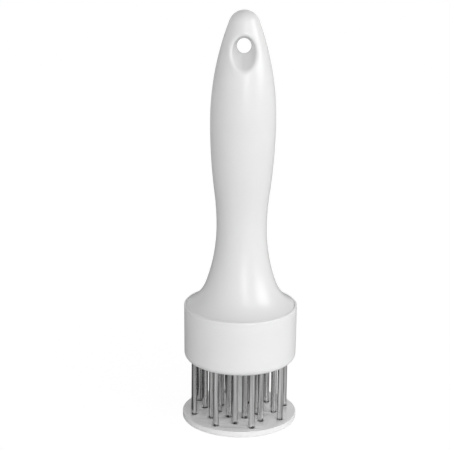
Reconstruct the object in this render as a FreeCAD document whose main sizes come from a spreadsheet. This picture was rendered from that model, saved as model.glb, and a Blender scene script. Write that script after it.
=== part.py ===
import FreeCAD, Part

import math
import os

import Sketcher
from FreeCAD import Placement, Rotation, Vector

# Blade meat tenderizer. The origin is the middle of the guard plate's underside, and +Z is up.
# The hanging hole in the handle runs along Y. All lengths are in millimetres.

SIZES = {
    "Guard plate": {
        "plate_overhang": 0.4,
        "plate_thickness": 3.0,
        "plate_top_chamfer": 0.3,
        "plate_foot_chamfer": 0.7,
        "plate_hole_clearance": 0.25,
    },
    "Blades": {
        "blades_per_ring": 8,
        "blade_sides": 12,
        "outer_ring_inset": 4.35,
        "middle_ring_inset": 9.9,
        "inner_ring_inset": 16.3,
        "ring_angle": 15.2,
        "blade_radius": 1.3,
        "blade_head_radius": 1.8,
        "blade_head_height": 1.0,
        "blade_neck_radius": 0.95,
        "blade_taper_length": 4.5,
        "blade_point_length": 2.4,
        "blade_point_radius": 0.12,
        "blade_bevel_length": 4.6,
        "blade_edge_width": 0.2,
        "blade_seat_clearance": 0.03,
    },
    "Barrel": {
        "guard_gap": 26.6,
        "barrel_height": 26.5,
        "barrel_top_radius": 26.1,
        "barrel_draft": 0.22,
        "barrel_foot_round": 3.0,
        "barrel_floor": 4.5,
        "barrel_wall": 2.1,
        "barrel_lip": 1.15,
        "barrel_lip_chamfer": 0.35,
        "barrel_ledge_depth": 2.8,
        "snap_depth": 0.4,
        "snap_width": 1.2,
        "snap_drop": 4.0,
    },
    "Blade retainer": {
        "retainer_thickness": 3.0,
        "retainer_clearance": 0.2,
    },
    "Handle": {
        "flange_rise": 0.35,
        "collar_radius": 16.2,
        "collar_rise": 9.8,
        "waist_radius": 11.48,
        "waist_rise": 36.9,
        "belly_radius": 14.82,
        "belly_rise": 87.0,
        "handle_length": 136.9,
        "nose_radius": 7.0,
        "neck_arc_radius": 118.0,
        "foot_clearance": 0.1,
        "foot_wall": 2.6,
        "foot_pocket_depth": 16.0,
        "foot_pockets": 8,
        "foot_rib": 1.8,
        "spring_tube_wall": 2.6,
    },
    "Hanging hole": {
        "hole_radius": 3.5,
        "hole_drop": 16.0,
        "hole_throat_length": 2.0,
        "mouth_half_width": 7.3,
        "mouth_half_height": 9.3,
        "mouth_drop": 1.2,
        "mouth_round": 1.0,
    },
    "Guide post": {
        "post_radius": 3.0,
        "post_running_clearance": 0.08,
        "post_head_radius": 5.8,
        "post_head_height": 2.0,
        "post_stop_gap": 0.1,
        "spring_peg_radius": 3.6,
        "spring_peg_height": 3.0,
        "spring_peg_chamfer": 0.6,
    },
    "Post screw": {
        "screw_radius": 1.45,
        "screw_clearance": 0.05,
        "screw_head_radius": 2.9,
        "screw_head_height": 1.5,
        "screw_reach": 10.0,
        "screw_slot_width": 0.7,
        "screw_slot_depth": 0.9,
        "screw_hole_end": 1.0,
    },
    "Return spring": {
        "spring_radius": 4.7,
        "spring_wire_radius": 0.45,
        "spring_length": 38.0,
        "spring_turns": 6,
        "spring_wire_sides": 6,
        "spring_end_turns": 0.75,
        "spring_end_gap": 0.45,
        "spring_seat_gap": 0.05,
        "spring_bore_clearance": 1.1,
    },
    "Guard stroke": {
        "stroke_end_gap": 0.6,
    },
}

doc = FreeCAD.newDocument("blade_meat_tenderizer")


class Length:
    """A size from the sheet, or a sum of sizes, with the sheet formula that gives it."""

    def __init__(self, value, formula):
        self.value = float(value)
        self.formula = formula

    def joined(self, sign, other, value):
        return Length(value, f"({self.formula} {sign} {other.formula})")

    def __add__(self, other):
        return self.joined("+", other, self.value + other.value)

    def __sub__(self, other):
        return self.joined("-", other, self.value - other.value)

    def __mul__(self, factor):
        return Length(self.value * factor, f"({self.formula} * {factor})")

    def __neg__(self):
        return self * -1

    def at_angle(self, angle):
        """The X and Y of a point this far from the origin, at an angle in degrees."""
        turn = math.radians(angle.value)
        x = Length(self.value * math.cos(turn), f"({self.formula} * cos({angle.formula} * 1 deg))")
        y = Length(self.value * math.sin(turn), f"({self.formula} * sin({angle.formula} * 1 deg))")
        return x, y


ZERO = Length(0, "0")


def fill_sheet():
    """Write every size into the spreadsheet under its own name."""
    sheet = doc.addObject("Spreadsheet::Sheet", "Sizes")
    row = 1
    for group, sizes in SIZES.items():
        sheet.set(f"A{row}", group)
        row += 1
        for name, value in sizes.items():
            sheet.set(f"A{row}", name)
            sheet.set(f"B{row}", str(value))
            sheet.setAlias(f"B{row}", name)
            row += 1
    doc.recompute()
    return sheet


sheet = fill_sheet()


def size(name):
    return Length(sheet.get(name), f"Sizes.{name}")


# Heights and radii that several pieces share
plate_top = size("plate_thickness")
barrel_foot = plate_top + size("guard_gap")
floor_top = barrel_foot + size("barrel_floor")
retainer_foot = floor_top + size("blade_head_height")
retainer_top = retainer_foot + size("retainer_thickness")
barrel_top = barrel_foot + size("barrel_height")
ledge_height = barrel_top - size("barrel_ledge_depth")
barrel_foot_radius = size("barrel_top_radius") - size("barrel_draft")
plate_radius = size("barrel_top_radius") + size("plate_overhang")
barrel_bore = size("barrel_top_radius") - size("barrel_wall")
lip_bore = size("barrel_top_radius") - size("barrel_lip")
flange_height = barrel_top + size("flange_rise")
handle_tip = flange_height + size("handle_length")
hole_height = handle_tip - size("hole_drop")
post_head_foot = retainer_top + size("post_stop_gap")
post_head_top = post_head_foot + size("post_head_height")
spring_foot = post_head_top + size("spring_seat_gap")
spring_top = spring_foot + size("spring_length")
spring_seat = spring_top + size("spring_seat_gap")
spring_bore = size("spring_radius") + size("spring_wire_radius") + size("spring_bore_clearance")
snap_height = ledge_height - size("snap_drop")
snap_half_width = size("snap_width") * 0.5
stroke = size("guard_gap") - size("stroke_end_gap")
blade_angle_step = 360 / sheet.get("blades_per_ring")

sub_parts = []


def new_body(label):
    body = doc.addObject("PartDesign::Body", label)
    body.Label = label
    sub_parts.append(body)
    return body


def new_sketch(body, name, plane, offset=ZERO):
    """Sketch on one of the body's own origin planes, or parallel to it."""
    sketch = body.newObject("Sketcher::SketchObject", f"{body.Label}_{name}")
    support = next(f for f in body.Origin.OriginFeatures if f.Role == plane)
    sketch.AttachmentSupport = [(support, "")]
    sketch.MapMode = "FlatFace"
    if offset.value:
        sketch.AttachmentOffset = Placement(Vector(0, 0, offset.value), Rotation())
        sketch.setExpression("AttachmentOffset.Base.z", offset.formula)
    return sketch


def constrain(sketch, kind, *where, length=None):
    """Add a constraint. One with a length is tied to its formula in the sheet."""
    if length is None:
        sketch.addConstraint(Sketcher.Constraint(kind, *where))
        return
    index = sketch.addConstraint(Sketcher.Constraint(kind, *where, length.value))
    sketch.setExpression(f"Constraints[{index}]", length.formula)


def place_point(sketch, geometry, end, across, up):
    """Hold one end or centre of a line or arc at its distances from the sketch's origin."""
    if across.value:
        constrain(sketch, "DistanceX", -1, 1, geometry, end, length=across)
    else:
        constrain(sketch, "PointOnObject", geometry, end, -2)
    if up.value:
        constrain(sketch, "DistanceY", -1, 1, geometry, end, length=up)
    else:
        constrain(sketch, "PointOnObject", geometry, end, -1)


def draw_polygon(sketch, corners):
    """Closed outline with straight sides through corners given as (across, up)."""
    points = [Vector(across.value, up.value, 0) for across, up in corners]
    first = sketch.GeometryCount
    count = len(points)
    for index, point in enumerate(points):
        sketch.addGeometry(Part.LineSegment(point, points[(index + 1) % count]), False)
    for index in range(count):
        constrain(sketch, "Coincident", first + index, 2, first + (index + 1) % count, 1)
    for index, (across, up) in enumerate(corners):
        place_point(sketch, first + index, 1, across, up)


def draw_circle(sketch, radius, across=ZERO, up=ZERO, angle=ZERO):
    centre = Vector(across.value, up.value, 0)
    circle = sketch.addGeometry(Part.Circle(centre, Vector(0, 0, 1), radius.value), False)
    place_point(sketch, circle, 3, across, up)
    constrain(sketch, "Radius", circle, length=radius)


def revolve(body, name, sketch):
    """Turn a sketch a full round about its vertical axis."""
    turned = body.newObject("PartDesign::Revolution", f"{body.Label}_{name}")
    turned.Profile = sketch
    turned.ReferenceAxis = (sketch, ["V_Axis"])
    turned.Angle = 360
    return turned


def cut_through(body, name, sketch):
    """Cut a sketch right through the body, to both sides of the sketch's plane."""
    pocket = body.newObject("PartDesign::Pocket", f"{body.Label}_{name}")
    pocket.Profile = sketch
    pocket.Type = "ThroughAll"
    pocket.SideType = "Symmetric"
    return pocket


def cut_up(body, name, sketch, depth):
    """Cut a sketch upwards from its plane to a depth."""
    pocket = body.newObject("PartDesign::Pocket", f"{body.Label}_{name}")
    pocket.Profile = sketch
    pocket.Reversed = True
    pocket.Length = depth.value
    pocket.setExpression("Length", depth.formula)
    return pocket


def pad_up(body, name, sketch, height):
    """Raise a sketch upwards from its plane."""
    pad = body.newObject("PartDesign::Pad", f"{body.Label}_{name}")
    pad.Profile = sketch
    pad.Length = height.value
    pad.setExpression("Length", height.formula)
    return pad


def repeat_round(body, name, feature, count_name, axis="N_Axis"):
    """Repeat a feature evenly round the Z axis, which is the named axis of its sketch."""
    pattern = body.newObject("PartDesign::PolarPattern", f"{body.Label}_{name}")
    pattern.Originals = [feature]
    pattern.Axis = (feature.Profile[0], [axis])
    pattern.Angle = 360
    pattern.Occurrences = int(sheet.get(count_name))
    pattern.setExpression("Occurrences", f"Sizes.{count_name}")
    body.Tip = pattern
    return pattern


def rims(feature, *places):
    """Names of the round edges about the Z axis at the given radius and height."""
    names = []
    for index, edge in enumerate(feature.Shape.Edges, 1):
        if not isinstance(edge.Curve, Part.Circle):
            continue
        centre = edge.Curve.Center
        for radius, height in places:
            miss = max(abs(edge.Curve.Radius - radius.value), abs(centre.z - height.value))
            if miss < 0.001 and math.hypot(centre.x, centre.y) < 0.001:
                names.append(f"Edge{index}")
    return names


def round_edges(body, name, base, edges, radius):
    fillet = body.newObject("PartDesign::Fillet", f"{body.Label}_{name}")
    fillet.Base = (base, edges)
    fillet.Radius = radius.value
    fillet.setExpression("Radius", radius.formula)
    return fillet


def chamfer_edges(body, name, base, edges, width):
    chamfer = body.newObject("PartDesign::Chamfer", f"{body.Label}_{name}")
    chamfer.Base = (base, edges)
    chamfer.Size = width.value
    chamfer.setExpression("Size", width.formula)
    return chamfer


# The three rings of blades: name, radius, and angle of the first blade. The middle ring is
# staggered by half a step.
half_step = Length(blade_angle_step / 2, "(180 / Sizes.blades_per_ring)")
RINGS = [
    ("outer", size("barrel_top_radius") - size("outer_ring_inset"), size("ring_angle")),
    ("middle", size("barrel_top_radius") - size("middle_ring_inset"), size("ring_angle") + half_step),
    ("inner", size("barrel_top_radius") - size("inner_ring_inset"), size("ring_angle")),
]


def draw_blade_section(sketch, radius, across=ZERO, up=ZERO, angle=ZERO):
    """Section of a blade or of its hole in the barrel: short sides stand for the round shank."""
    sides = int(sheet.get("blade_sides"))
    corners = []
    for side in range(sides):
        turn = Length((side + 0.5) * 360 / sides, f"({side + 0.5} * 360 / Sizes.blade_sides)")
        corner_across, corner_up = radius.at_angle(angle + turn)
        corners.append((across + corner_across, up + corner_up))
    draw_polygon(sketch, corners)


def cut_blade_holes(body, radius, draw_hole):
    """One hole of each ring, right through, repeated round the axis."""
    sketch = new_sketch(body, "blade_holes", "XY_Plane")
    for name, ring_radius, angle in RINGS:
        across, up = ring_radius.at_angle(angle)
        draw_hole(sketch, radius, across, up, angle)
    pocket = cut_through(body, "blade_hole_cut", sketch)
    return repeat_round(body, "blade_hole_rings", pocket, "blades_per_ring")


def make_guard_plate():
    """Moulded disc with a hole for every blade and a countersunk hole for the post's screw."""
    body = new_body("guard_plate")
    disc = new_sketch(body, "disc", "XZ_Plane")
    foot = size("plate_foot_chamfer")
    top = size("plate_top_chamfer")
    draw_polygon(
        disc,
        [
            (ZERO, ZERO),
            (plate_radius - foot, ZERO),
            (plate_radius, foot),
            (plate_radius, plate_top - top),
            (plate_radius - top, plate_top),
            (ZERO, plate_top),
        ],
    )
    revolve(body, "disc_form", disc)
    cut_blade_holes(body, size("blade_radius") + size("plate_hole_clearance"), draw_circle)
    cut_countersink(body)
    return body


def cut_countersink(body):
    """Groove for the screw: a cone for its head, then a round hole for its shank."""
    sketch = new_sketch(body, "screw_hole", "XZ_Plane")
    clearance = size("screw_clearance")
    head_radius = size("screw_head_radius") + clearance
    hole_radius = size("screw_radius") + clearance
    head_height = size("screw_head_height")
    draw_polygon(
        sketch,
        [
            (ZERO, ZERO),
            (head_radius, ZERO),
            (hole_radius, head_height),
            (hole_radius, plate_top),
            (ZERO, plate_top),
        ],
    )
    groove = body.newObject("PartDesign::Groove", f"{body.Label}_countersink")
    groove.Profile = sketch
    groove.ReferenceAxis = (sketch, ["V_Axis"])
    groove.Angle = 360


def make_blade_form():
    """Steel pin blade at the origin: a nail head, a shank that tapers, a point with two bevels."""
    body = doc.addObject("PartDesign::Body", "blade_form")
    point = plate_top - size("blade_point_length")
    taper_top = plate_top + size("blade_taper_length")
    shank = new_sketch(body, "shank", "XY_Plane", point)
    draw_blade_section(shank, size("blade_radius"))
    pad_up(body, "shank_form", shank, floor_top - point)
    head = new_sketch(body, "head", "XY_Plane", floor_top)
    draw_blade_section(head, size("blade_head_radius"))
    pad_up(body, "head_form", head, size("blade_head_height"))

    # Taper and point: the same two flats on every side of the shank
    flats = new_sketch(body, "flats", "XZ_Plane")
    outside = size("blade_head_radius")
    draw_polygon(
        flats,
        [
            (size("blade_point_radius"), point),
            (outside, point),
            (outside, taper_top),
            (size("blade_radius"), taper_top),
            (size("blade_neck_radius"), plate_top),
        ],
    )
    cut = cut_through(body, "flat_cut", flats)
    repeat_round(body, "flats_all_round", cut, "blade_sides", "V_Axis")

    bevels = new_sketch(body, "bevels", "XZ_Plane")
    bevel_top = point + size("blade_bevel_length")
    edge = size("blade_edge_width") * 0.5
    rim = size("blade_radius")
    for side in (1, -1):
        draw_polygon(bevels, [(edge * side, point), (rim * side, point), (rim * side, bevel_top)])
    cut_through(body, "bevel_cut", bevels)
    return body


def make_blades():
    """Copies of the one blade, each turned with its place in its ring."""
    blade_form = make_blade_form()
    doc.recompute()
    for ring, radius, first_angle in RINGS:
        for number in range(int(sheet.get("blades_per_ring"))):
            turn = Length(number * blade_angle_step, f"({number} * 360 / Sizes.blades_per_ring)")
            angle = first_angle + turn
            across, up = radius.at_angle(angle)
            body = new_body(f"blade_{ring}_{number + 1}")
            copy = doc.addObject("PartDesign::FeatureBase", f"{body.Label}_copy")
            body.Group = [copy]
            copy.BaseFeature = blade_form
            body.Tip = copy
            place = Vector(across.value, up.value, 0)
            body.Placement = Placement(place, Rotation(Vector(0, 0, 1), angle.value))


def make_barrel():
    """Moulded cup: drafted outside, floor for the blades, ledge and lip round the handle's foot."""
    body = new_body("barrel")
    top_radius = size("barrel_top_radius")
    groove_radius = barrel_bore + size("snap_depth")
    cup = new_sketch(body, "cup", "XZ_Plane")
    draw_polygon(
        cup,
        [
            (ZERO, barrel_foot),
            (barrel_foot_radius, barrel_foot),
            (top_radius, barrel_top),
            (lip_bore, barrel_top),
            (lip_bore, ledge_height),
            (barrel_bore, ledge_height),
            (barrel_bore, snap_height + snap_half_width),
            (groove_radius, snap_height),
            (barrel_bore, snap_height - snap_half_width),
            (barrel_bore, floor_top),
            (ZERO, floor_top),
        ],
    )
    turned = revolve(body, "cup_form", cup)
    doc.recompute()
    foot = round_edges(
        body, "foot_round", turned, rims(turned, (barrel_foot_radius, barrel_foot)), size("barrel_foot_round")
    )
    doc.recompute()
    lip = rims(foot, (top_radius, barrel_top), (lip_bore, barrel_top))
    chamfer_edges(body, "lip_chamfer", foot, lip, size("barrel_lip_chamfer"))
    cut_blade_holes(body, size("blade_radius") + size("blade_seat_clearance"), draw_blade_section)
    post_hole = new_sketch(body, "post_hole", "XY_Plane")
    draw_circle(post_hole, size("post_radius") + size("post_running_clearance"))
    cut_through(body, "post_hole_cut", post_hole)
    return body


def make_blade_retainer():
    """Plain disc that lies on the blade heads, with a hole for the post."""
    body = new_body("blade_retainer")
    inner = size("post_radius") + size("retainer_clearance")
    outer = barrel_bore - size("retainer_clearance")
    ring = new_sketch(body, "ring", "XZ_Plane")
    draw_polygon(
        ring,
        [(inner, retainer_foot), (outer, retainer_foot), (outer, retainer_top), (inner, retainer_top)],
    )
    revolve(body, "ring_form", ring)
    return body


def arc(centre, radius, start, end):
    """Arc of a circle from one angle to another, anticlockwise, in radians."""
    return Part.ArcOfCircle(Part.Circle(centre, Vector(0, 0, 1), radius), start, end)


def draw_handle_outline(sketch):
    """Outline of the grip: six tangent arcs from the tip down to the flange, then the plug below.

    The arcs start out where their sizes put them, and the constraints then hold them: the belly
    and the waist stand upright, each arc meets the next without a kink.
    """
    belly = Vector(sheet.get("belly_radius"), (flange_height + size("belly_rise")).value, 0)
    waist = Vector(sheet.get("waist_radius"), (flange_height + size("waist_rise")).value, 0)
    collar = Vector(sheet.get("collar_radius"), (flange_height + size("collar_rise")).value, 0)
    flange_radius = lip_bore - size("foot_clearance")
    flange = Vector(flange_radius.value, flange_height.value, 0)

    # Nose and crown: a small circle on the axis inside a large one that stands upright at the belly
    nose_radius = sheet.get("nose_radius")
    nose = Vector(0, handle_tip.value - nose_radius, 0)
    rise = nose.y - belly.y
    crown_radius = (belly.x**2 + rise**2 - nose_radius**2) / (2 * (belly.x - nose_radius))
    crown = Vector(belly.x - crown_radius, belly.y, 0)
    nose_angle = math.atan2(nose.y - crown.y, nose.x - crown.x)

    # Belly and neck: two arcs that bend opposite ways and are both upright at their far ends
    width = belly.x - waist.x
    height = belly.y - waist.y
    neck_radius = sheet.get("neck_arc_radius")
    belly_arc_radius = (width**2 + height**2) / (2 * width) - neck_radius
    neck = Vector(waist.x + neck_radius, waist.y, 0)
    belly_centre = Vector(belly.x - belly_arc_radius, belly.y, 0)
    bend = math.atan2(belly_centre.y - neck.y, neck.x - belly_centre.x)

    # Flare and collar: from the upright waist through the collar point, then out to the flange
    out = collar.x - waist.x
    down = waist.y - collar.y
    flare_radius = (out**2 + down**2) / (2 * out)
    flare = Vector(waist.x + flare_radius, waist.y, 0)
    lean = math.atan2(down, flare_radius - out)
    normal = Vector(math.cos(lean), math.sin(lean), 0)
    reach = flange - collar
    collar_radius = reach.dot(reach) / (2 * reach.dot(normal))
    collar_centre = collar + normal * collar_radius
    to_flange = flange - collar_centre
    flange_angle = math.atan2(to_flange.y, to_flange.x) + 2 * math.pi

    sketch.addGeometry(arc(nose, nose_radius, nose_angle, math.pi / 2), False)
    sketch.addGeometry(arc(crown, crown_radius, 0, nose_angle), False)
    sketch.addGeometry(arc(belly_centre, belly_arc_radius, -bend, 0), False)
    sketch.addGeometry(arc(neck, neck_radius, math.pi - bend, math.pi), False)
    sketch.addGeometry(arc(flare, flare_radius, math.pi, math.pi + lean), False)
    sketch.addGeometry(arc(collar_centre, collar_radius, math.pi + lean, flange_angle), False)
    nose_arc, crown_arc, belly_arc, neck_arc, flare_arc, collar_arc = range(6)
    constrain(sketch, "Tangent", nose_arc, 1, crown_arc, 2)
    constrain(sketch, "Tangent", crown_arc, 1, belly_arc, 2)
    constrain(sketch, "Tangent", belly_arc, 1, neck_arc, 1)
    constrain(sketch, "Tangent", neck_arc, 2, flare_arc, 1)
    constrain(sketch, "Tangent", flare_arc, 2, collar_arc, 1)
    constrain(sketch, "PointOnObject", nose_arc, 3, -2)
    constrain(sketch, "Radius", nose_arc, length=size("nose_radius"))
    constrain(sketch, "Radius", neck_arc, length=size("neck_arc_radius"))
    constrain(sketch, "Horizontal", crown_arc, 3, crown_arc, 1)
    constrain(sketch, "Horizontal", neck_arc, 3, neck_arc, 2)
    place_point(sketch, nose_arc, 2, ZERO, handle_tip)
    place_point(sketch, crown_arc, 1, size("belly_radius"), flange_height + size("belly_rise"))
    place_point(sketch, neck_arc, 2, size("waist_radius"), flange_height + size("waist_rise"))
    place_point(sketch, flare_arc, 2, size("collar_radius"), flange_height + size("collar_rise"))
    place_point(sketch, collar_arc, 2, flange_radius, flange_height)

    # Flange edge, its underside on the barrel's ledge, and the plug with its snap bead
    plug_radius = barrel_bore - size("foot_clearance")
    bead_radius = plug_radius + size("snap_depth")
    corners = [
        (flange_radius, flange_height),
        (flange_radius, ledge_height),
        (plug_radius, ledge_height),
        (plug_radius, snap_height + snap_half_width),
        (bead_radius, snap_height),
        (plug_radius, snap_height - snap_half_width),
        (plug_radius, retainer_top),
        (ZERO, retainer_top),
        (ZERO, handle_tip),
    ]
    previous = collar_arc
    for start, end in zip(corners, corners[1:]):
        points = [Vector(across.value, up.value, 0) for across, up in (start, end)]
        line = sketch.addGeometry(Part.LineSegment(*points), False)
        constrain(sketch, "Coincident", previous, 2, line, 1)
        if end is corners[-1]:
            constrain(sketch, "Coincident", line, 2, nose_arc, 2)
        else:
            place_point(sketch, line, 2, *end)
        previous = line


def cut_flared_mouth(body, name, side):
    """One flared mouth of the hanging hole, from the round throat out to an oval, lower opening."""
    half_throat = size("hole_throat_length") * 0.5
    throat = new_sketch(body, f"{name}_throat", "XZ_Plane", half_throat * side)
    draw_circle(throat, size("hole_radius"), ZERO, hole_height)
    mouth = new_sketch(body, f"{name}_mouth", "XZ_Plane", size("belly_radius") * side)
    centre = hole_height - size("mouth_drop")
    half_height = size("mouth_half_height")
    half_width = size("mouth_half_width")
    middle = Vector(0, centre.value, 0)
    top = middle + Vector(0, half_height.value, 0)
    right = middle + Vector(half_width.value, 0, 0)
    oval = mouth.addGeometry(Part.Ellipse(top, right, middle), False)
    mouth.exposeInternalGeometry(oval)
    place_point(mouth, oval, 3, ZERO, centre)
    constrain(mouth, "PointOnObject", 1, 1, -2)
    constrain(mouth, "Distance", 1, length=half_height * 2)
    constrain(mouth, "Distance", 2, length=half_width * 2)
    loft = body.newObject("PartDesign::SubtractiveLoft", f"{body.Label}_{name}_flare")
    loft.Profile = throat
    loft.Sections = [mouth]
    loft.Ruled = True
    return loft


def mouth_edges(feature):
    """Names of the edges where the flared mouths come out of the grip."""
    names = []
    for index, edge in enumerate(feature.Shape.Edges, 1):
        box = edge.BoundBox
        near = abs(box.Center.z - hole_height.value) < sheet.get("mouth_half_height")
        narrow = box.XMax < sheet.get("mouth_half_width") and box.ZLength > sheet.get("hole_radius")
        if near and narrow and min(abs(box.YMin), abs(box.YMax)) > sheet.get("hole_radius"):
            names.append(f"Edge{index}")
    return names


def make_handle():
    """Moulded grip with its hanging hole, its foot that plugs the barrel, and the spring's bore."""
    body = new_body("handle")
    outline = new_sketch(body, "outline", "XZ_Plane")
    draw_handle_outline(outline)
    revolve(body, "grip", outline)

    throat = new_sketch(body, "throat", "XZ_Plane")
    draw_circle(throat, size("hole_radius"), ZERO, hole_height)
    cut_through(body, "throat_cut", throat)
    cut_flared_mouth(body, "front", 1)
    flared = cut_flared_mouth(body, "back", -1)
    doc.recompute()
    round_edges(body, "mouth_round", flared, mouth_edges(flared), size("mouth_round"))

    bore = new_sketch(body, "spring_bore", "XY_Plane", retainer_top)
    draw_circle(bore, spring_bore)
    cut_up(body, "spring_bore_cut", bore, spring_seat - retainer_top)

    pocket = new_sketch(body, "foot_pocket", "XY_Plane", retainer_top)
    draw_foot_pocket(pocket)
    pocket_cut = cut_up(body, "foot_pocket_cut", pocket, size("foot_pocket_depth"))
    repeat_round(body, "foot_pockets", pocket_cut, "foot_pockets")
    return body


def draw_foot_pocket(sketch):
    """Sector between two ribs, the wall of the spring's tube and the wall of the plug."""
    inner = spring_bore + size("spring_tube_wall")
    outer = barrel_bore - size("foot_clearance") - size("foot_wall")
    half_rib = size("foot_rib") * 0.5
    half_turn = math.pi / sheet.get("foot_pockets")
    start = math.asin(half_rib.value / inner.value)
    end = math.asin(half_rib.value / outer.value)
    turn = 2 * half_turn
    origin = Vector(0, 0, 0)
    across = Vector(math.cos(turn), math.sin(turn), 0)
    beside = Vector(math.sin(turn), -math.cos(turn), 0)

    def far_point(radius, angle):
        along = radius * math.cos(angle)
        return across * along + beside * half_rib.value

    near_inner = Vector(inner.value * math.cos(start), half_rib.value, 0)
    near_outer = Vector(outer.value * math.cos(end), half_rib.value, 0)
    sketch.addGeometry(Part.LineSegment(near_inner, near_outer), False)
    sketch.addGeometry(arc(origin, outer.value, end, turn - end), False)
    sketch.addGeometry(
        Part.LineSegment(far_point(outer.value, end), far_point(inner.value, start)), False
    )
    sketch.addGeometry(arc(origin, inner.value, start, turn - start), False)
    near_side, outer_arc, far_side, inner_arc = range(4)
    constrain(sketch, "Coincident", near_side, 2, outer_arc, 1)
    constrain(sketch, "Coincident", outer_arc, 2, far_side, 1)
    constrain(sketch, "Coincident", far_side, 2, inner_arc, 2)
    constrain(sketch, "Coincident", inner_arc, 1, near_side, 1)
    constrain(sketch, "Coincident", outer_arc, 3, -1, 1)
    constrain(sketch, "Coincident", inner_arc, 3, -1, 1)
    constrain(sketch, "Radius", outer_arc, length=outer)
    constrain(sketch, "Radius", inner_arc, length=inner)
    constrain(sketch, "Horizontal", near_side)
    constrain(sketch, "DistanceY", -1, 1, near_side, 1, length=half_rib)
    constrain(sketch, "Distance", -1, 1, far_side, length=half_rib)
    slope = Length(turn, "(360 / Sizes.foot_pockets * 1 deg)")
    constrain(sketch, "Angle", -1, 1, far_side, 2, length=slope)


def make_guide_post():
    """Moulded stem on the plate: its head stops on the retainer, and a peg centres the spring."""
    body = new_body("guide_post")
    stem = new_sketch(body, "stem", "XZ_Plane")
    peg_top = post_head_top + size("spring_peg_height")
    draw_polygon(
        stem,
        [
            (ZERO, plate_top),
            (size("post_radius"), plate_top),
            (size("post_radius"), post_head_foot),
            (size("post_head_radius"), post_head_foot),
            (size("post_head_radius"), post_head_top),
            (size("spring_peg_radius"), post_head_top),
            (size("spring_peg_radius"), peg_top),
            (ZERO, peg_top),
        ],
    )
    turned = revolve(body, "stem_form", stem)
    doc.recompute()
    peg_rim = rims(turned, (size("spring_peg_radius"), peg_top))
    chamfer_edges(body, "peg_chamfer", turned, peg_rim, size("spring_peg_chamfer"))
    hole = new_sketch(body, "screw_hole", "XY_Plane", plate_top)
    draw_circle(hole, size("screw_radius") + size("screw_clearance"))
    depth = size("screw_head_height") + size("screw_reach") + size("screw_hole_end") - plate_top
    cut_up(body, "screw_hole_cut", hole, depth)
    return body


def make_post_screw():
    """Countersunk screw, flush with the plate's underside, with a cross recess."""
    body = new_body("post_screw")
    form = new_sketch(body, "form", "XZ_Plane")
    head_radius = size("screw_head_radius")
    radius = size("screw_radius")
    head_height = size("screw_head_height")
    tip = head_height + size("screw_reach")
    draw_polygon(
        form, [(ZERO, ZERO), (head_radius, ZERO), (radius, head_height), (radius, tip), (ZERO, tip)]
    )
    revolve(body, "turned_form", form)
    cross = new_sketch(body, "cross", "XY_Plane")
    half_slot = size("screw_slot_width") * 0.5
    arm = radius + half_slot * 0.5
    draw_polygon(
        cross,
        [
            (arm, half_slot),
            (half_slot, half_slot),
            (half_slot, arm),
            (-half_slot, arm),
            (-half_slot, half_slot),
            (-arm, half_slot),
            (-arm, -half_slot),
            (-half_slot, -half_slot),
            (-half_slot, -arm),
            (half_slot, -arm),
            (half_slot, -half_slot),
            (arm, -half_slot),
        ],
    )
    cut_up(body, "cross_cut", cross, size("screw_slot_depth"))
    return body


def coil_height(turn):
    """Height of the wire's centre after a number of turns: close at both ends, open between."""
    wire = sheet.get("spring_wire_radius")
    turns = sheet.get("spring_turns")
    end_turns = sheet.get("spring_end_turns")
    end_pitch = 2 * wire + sheet.get("spring_end_gap")
    whole = sheet.get("spring_length") - 2 * wire
    open_pitch = (whole - 2 * end_turns * end_pitch) / (turns - 2 * end_turns)
    below = min(turn, end_turns)
    above = max(turn - (turns - end_turns), 0)
    between = turn - below - above
    return spring_foot.value + wire + (below + above) * end_pitch + between * open_pitch


def coil_point(turn):
    angle = 2 * math.pi * turn
    radius = sheet.get("spring_radius")
    return Vector(radius * math.cos(angle), radius * math.sin(angle), coil_height(turn))


def coil_direction(turn):
    """Direction of the wire, with its climb averaged over an eighth of a turn each way."""
    turns = sheet.get("spring_turns")
    before = max(turn - 0.125, 0)
    after = min(turn + 0.125, turns)
    climb = (coil_height(after) - coil_height(before)) / (after - before)
    angle = 2 * math.pi * turn
    round_length = 2 * math.pi * sheet.get("spring_radius")
    direction = Vector(-math.sin(angle) * round_length, math.cos(angle) * round_length, climb)
    return direction.normalize()


def arc_through_corner(start, corner, end):
    """Arc from start to end whose tangents meet at the corner."""
    middle = (start + end) * 0.5
    half_chord = (end - start).Length / 2
    height = (corner - middle).Length
    quarter_bend = math.atan2(height, half_chord) / 2
    top = middle + (corner - middle) * (half_chord * math.tan(quarter_bend) / height)
    return Part.Arc(start, top, end).toShape()


def biarc(start, start_direction, end, end_direction):
    """Two tangent arcs from one point to another, in given directions."""
    chord = end - start
    both = start_direction + end_direction
    a = 2 * (1 - start_direction.dot(end_direction))
    b = 2 * chord.dot(both)
    c = -chord.dot(chord)
    reach = (-b + math.sqrt(b * b - 4 * a * c)) / (2 * a)
    first_corner = start + start_direction * reach
    second_corner = end - end_direction * reach
    joint = (first_corner + second_corner) * 0.5
    return [
        arc_through_corner(start, first_corner, joint),
        arc_through_corner(joint, second_corner, end),
    ]


def least_coil_gap():
    """Least gap between neighbouring turns of the wire, measured on points along it."""
    turns = sheet.get("spring_turns")
    steps = int(turns * 36)
    points = [coil_point(turns * step / steps) for step in range(steps + 1)]
    per_turn = int(steps / turns)
    distances = [
        (points[i] - points[j]).Length
        for i in range(len(points))
        for j in range(i + per_turn // 2, len(points))
    ]
    return min(distances) - 2 * sheet.get("spring_wire_radius")


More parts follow.
